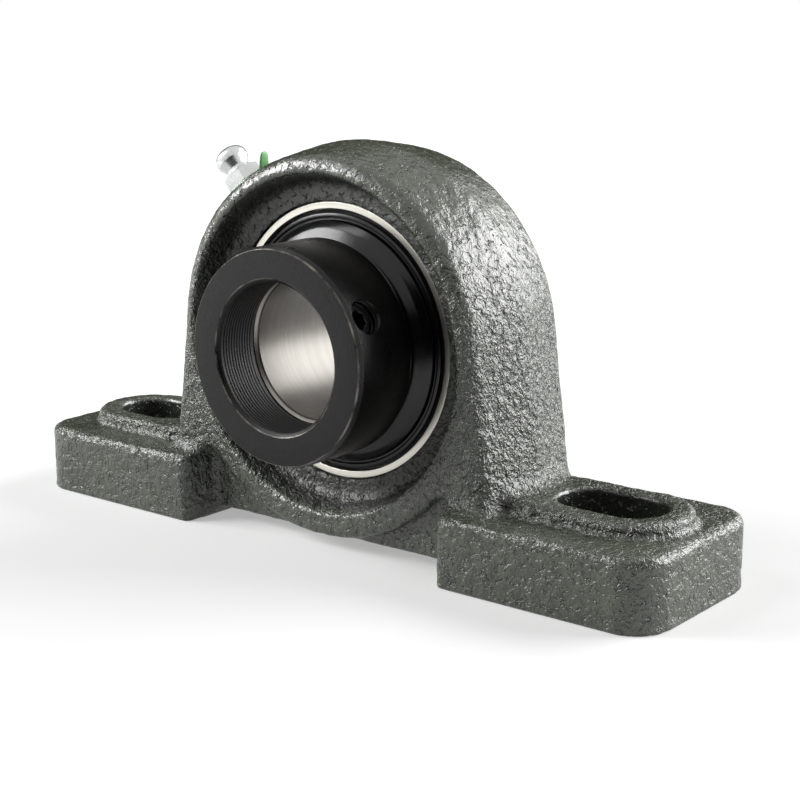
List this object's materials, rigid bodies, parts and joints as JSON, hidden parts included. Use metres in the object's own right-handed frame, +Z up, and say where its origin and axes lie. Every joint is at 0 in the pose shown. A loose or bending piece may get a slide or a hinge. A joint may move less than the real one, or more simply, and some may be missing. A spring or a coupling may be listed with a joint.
{
  "type": "pillow block bearing",
  "caption": "Foot-mounted cast housing with a self-aligning ball insert, an eccentric locking collar and a grease nipple; it carries a rotating shaft.",
  "frame": {"origin": "centre of the two bolt slots, on the plane of the feet's undersides", "axes": "+X along the housing's length, -Y along the shaft towards the locking collar, +Z up"},
  "size_m": [0.14, 0.0423, 0.0713],
  "materials": {
    "cast_housing": "rough cast, dark green-grey satin paint",
    "outer_ring": "ground bearing steel",
    "inner_ring": "ground bearing steel",
    "balls": "polished bearing steel",
    "cage": "pressed sheet steel",
    "seals": "moulded rubber",
    "flingers": "black oxide sheet steel",
    "collar": "black oxide, satin",
    "set_screw": "black oxide",
    "nipple": "bright zinc plate",
    "nipple_spring": "drawn wire",
    "washer": "moulded green plastic"
  },
  "bodies": {
    "housing": {"housing": "cast_housing", "nipple_body": "nipple", "nipple_washer": "washer", "nipple_spring": "nipple_spring"},
    "insert": {"outer_ring": "outer_ring", "front_seal": "seals", "rear_seal": "seals"},
    "shaft_group": {"inner_ring": "inner_ring", "front_flinger": "flingers", "rear_flinger": "flingers"},
    "collar": {"locking_collar": "collar"},
    "set_screw": {"collar_set_screw": "set_screw"},
    "cage": {"cage_front_half": "cage", "cage_rear_half": "cage", "cage_rivets": "cage"},
    "check_ball": {"nipple_check_ball": "balls"},
    "ball_1": {"ball_1": "balls"},
    "ball_2": {"ball_2": "balls"},
    "ball_3": {"ball_3": "balls"},
    "ball_4": {"ball_4": "balls"},
    "ball_5": {"ball_5": "balls"},
    "ball_6": {"ball_6": "balls"},
    "ball_7": {"ball_7": "balls"},
    "ball_8": {"ball_8": "balls"},
    "ball_9": {"ball_9": "balls"}
  },
  "joints": [
    {"name": "insert_tilt", "type": "hinge", "parent": "housing", "child": "insert", "pos_m": [0, 0, 0.0365], "axis": [1, 0, 0], "range_deg": [-2, 2]},
    {"name": "shaft_spin", "type": "hinge", "parent": "insert", "child": "shaft_group", "pos_m": [0, 0, 0.0365], "axis": [0, 1, 0], "continuous": true},
    {"name": "collar_lock", "type": "hinge", "parent": "shaft_group", "child": "collar", "pos_m": [0, 0, 0.0365], "axis": [0, 1, 0], "range_deg": [-20, 20]},
    {"name": "set_screw_travel", "type": "slide", "parent": "collar", "child": "set_screw", "axis": [0.891, 0, 0.454], "range_m": [-0.0005, 0.0015]},
    {"name": "cage_spin", "type": "hinge", "parent": "insert", "child": "cage", "pos_m": [0, 0, 0.0365], "axis": [0, 1, 0], "continuous": true},
    {"name": "ball_1_spin", "type": "hinge", "parent": "cage", "child": "ball_1", "pos_m": [0.0195, 0, 0.0365], "axis": [0, 1, 0], "continuous": true},
    {"name": "ball_2_spin", "type": "hinge", "parent": "cage", "child": "ball_2", "pos_m": [0.01494, 0, 0.04903], "axis": [0, 1, 0], "continuous": true},
    {"name": "ball_3_spin", "type": "hinge", "parent": "cage", "child": "ball_3", "pos_m": [0.00339, 0, 0.0557], "axis": [0, 1, 0], "continuous": true},
    {"name": "ball_4_spin", "type": "hinge", "parent": "cage", "child": "ball_4", "pos_m": [-0.00975, 0, 0.05339], "axis": [0, 1, 0], "continuous": true},
    {"name": "ball_5_spin", "type": "hinge", "parent": "cage", "child": "ball_5", "pos_m": [-0.01832, 0, 0.04317], "axis": [0, 1, 0], "continuous": true},
    {"name": "ball_6_spin", "type": "hinge", "parent": "cage", "child": "ball_6", "pos_m": [-0.01832, 0, 0.02983], "axis": [0, 1, 0], "continuous": true},
    {"name": "ball_7_spin", "type": "hinge", "parent": "cage", "child": "ball_7", "pos_m": [-0.00975, 0, 0.01961], "axis": [0, 1, 0], "continuous": true},
    {"name": "ball_8_spin", "type": "hinge", "parent": "cage", "child": "ball_8", "pos_m": [0.00339, 0, 0.0173], "axis": [0, 1, 0], "continuous": true},
    {"name": "ball_9_spin", "type": "hinge", "parent": "cage", "child": "ball_9", "pos_m": [0.01494, 0, 0.02397], "axis": [0, 1, 0], "continuous": true},
    {"name": "nipple_check", "type": "slide", "parent": "housing", "child": "check_ball", "axis": [0.6871, 0, -0.7266], "range_m": [0, 0.0012], "stiffness_N_per_m": 60, "springref_m": -0.002, "deforming": ["nipple_spring"]}
  ],
  "couplings": [
    {"joint": "cage_spin", "follows": "shaft_spin", "ratio": 0.39823},
    {"joint": "ball_1_spin", "follows": "shaft_spin", "ratio": -2.3548},
    {"joint": "ball_2_spin", "follows": "shaft_spin", "ratio": -2.3548},
    {"joint": "ball_3_spin", "follows": "shaft_spin", "ratio": -2.3548},
    {"joint": "ball_4_spin", "follows": "shaft_spin", "ratio": -2.3548},
    {"joint": "ball_5_spin", "follows": "shaft_spin", "ratio": -2.3548},
    {"joint": "ball_6_spin", "follows": "shaft_spin", "ratio": -2.3548},
    {"joint": "ball_7_spin", "follows": "shaft_spin", "ratio": -2.3548},
    {"joint": "ball_8_spin", "follows": "shaft_spin", "ratio": -2.3548},
    {"joint": "ball_9_spin", "follows": "shaft_spin", "ratio": -2.3548}
  ]
}
